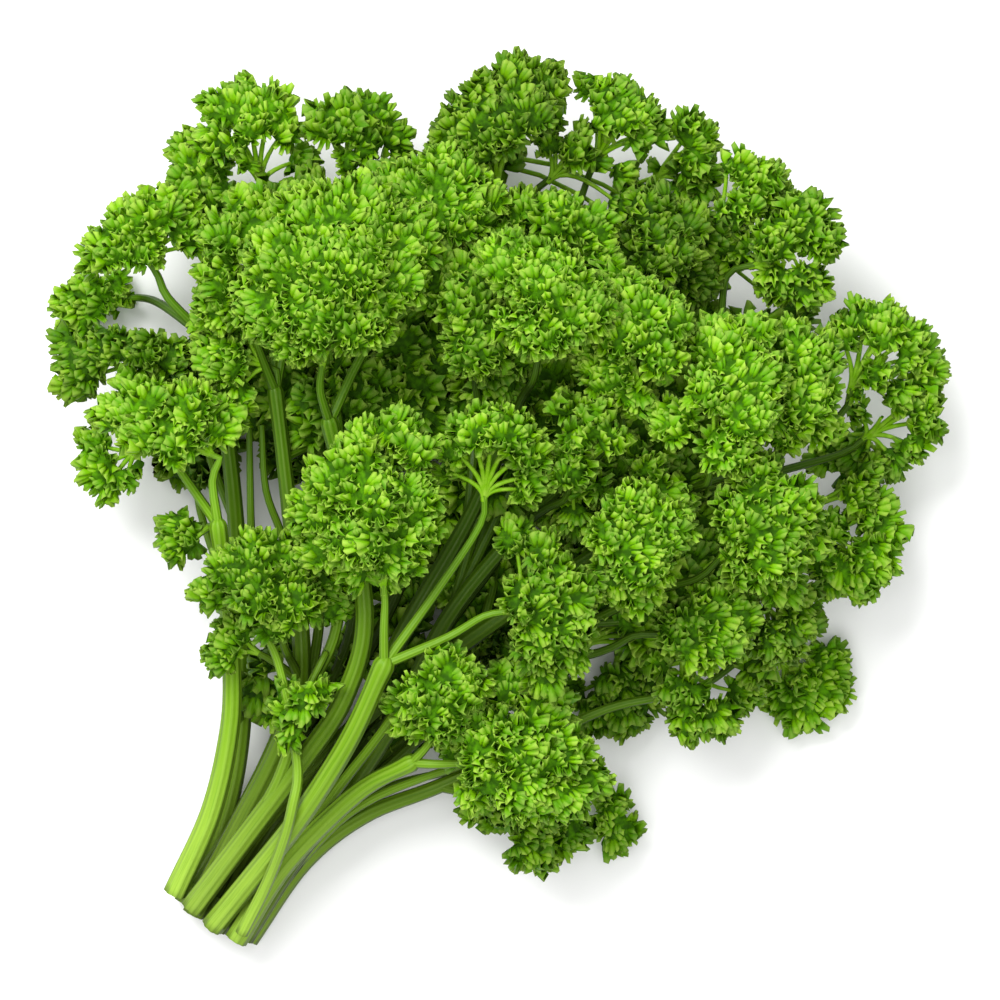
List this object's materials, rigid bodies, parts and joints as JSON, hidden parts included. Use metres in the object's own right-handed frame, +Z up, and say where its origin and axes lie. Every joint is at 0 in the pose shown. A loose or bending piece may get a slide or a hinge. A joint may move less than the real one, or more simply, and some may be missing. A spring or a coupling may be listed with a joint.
{
  "type": "parsley bunch",
  "caption": "Loose bunch of cut curly parsley lying down: forking green stalks that fan out into domed, tightly curled leaf heads.",
  "frame": {"origin": "under the middle of the bunch's box, on the surface that it lies on", "axes": "+X along the bunch from the cut ends towards the leaf tips, +Z up from the surface; +Y completes the right-handed frame across the bunch"},
  "size_m": [0.2109, 0.1972, 0.0768],
  "materials": {
    "stalk": "smooth juicy green stem, paler at the cut",
    "leaf": "satin curled leaf, lighter along its teeth"
  },
  "bodies": {
    "root": {"stalk_west": "stalk", "stalk_northwest": "stalk", "stalk_north": "stalk", "stalk_crown": "stalk", "stalk_centre": "stalk", "stalk_ridge": "stalk", "stalk_east": "stalk", "stalk_south": "stalk", "stalk_far_east": "stalk", "stalk_southeast": "stalk", "stalk_edge": "stalk", "leaf_crown": "leaf", "leaf_crown_right": "leaf", "leaf_crown_far": "leaf", "leaf_centre": "leaf", "leaf_centre_right": "leaf", "leaf_centre_low": "leaf", "leaf_ridge": "leaf", "leaf_ridge_left": "leaf", "leaf_ridge_far": "leaf", "leaf_east": "leaf", "leaf_east_high": "leaf", "leaf_east_dark": "leaf", "leaf_east_far": "leaf", "leaf_east_tip": "leaf", "leaf_south": "leaf", "leaf_south_big": "leaf", "leaf_south_edge": "leaf", "leaf_south_tip": "leaf", "leaf_far_east": "leaf", "leaf_far_east_right": "leaf", "leaf_far_east_top": "leaf", "leaf_far_east_side": "leaf", "leaf_corner": "leaf", "leaf_corner_low": "leaf", "leaf_southeast": "leaf", "leaf_southeast_right": "leaf", "leaf_southeast_low": "leaf", "leaf_southeast_far": "leaf", "leaf_edge": "leaf", "leaf_edge_low": "leaf", "leaf_edge_right": "leaf", "leaf_edge_far": "leaf", "leaf_north": "leaf", "leaf_north_far": "leaf", "leaf_north_side": "leaf", "leaf_wood": "leaf", "leaf_west": "leaf", "leaf_west_low": "leaf", "leaf_northwest": "leaf", "leaf_northwest_top": "leaf", "leaf_northwest_tip": "leaf", "leaf_under_west": "leaf", "leaf_under_north": "leaf", "leaf_under_crown": "leaf", "leaf_under_middle": "leaf", "leaf_under_east": "leaf", "leaf_under_south": "leaf", "leaf_under_corner": "leaf"}
  },
  "joints": []
}
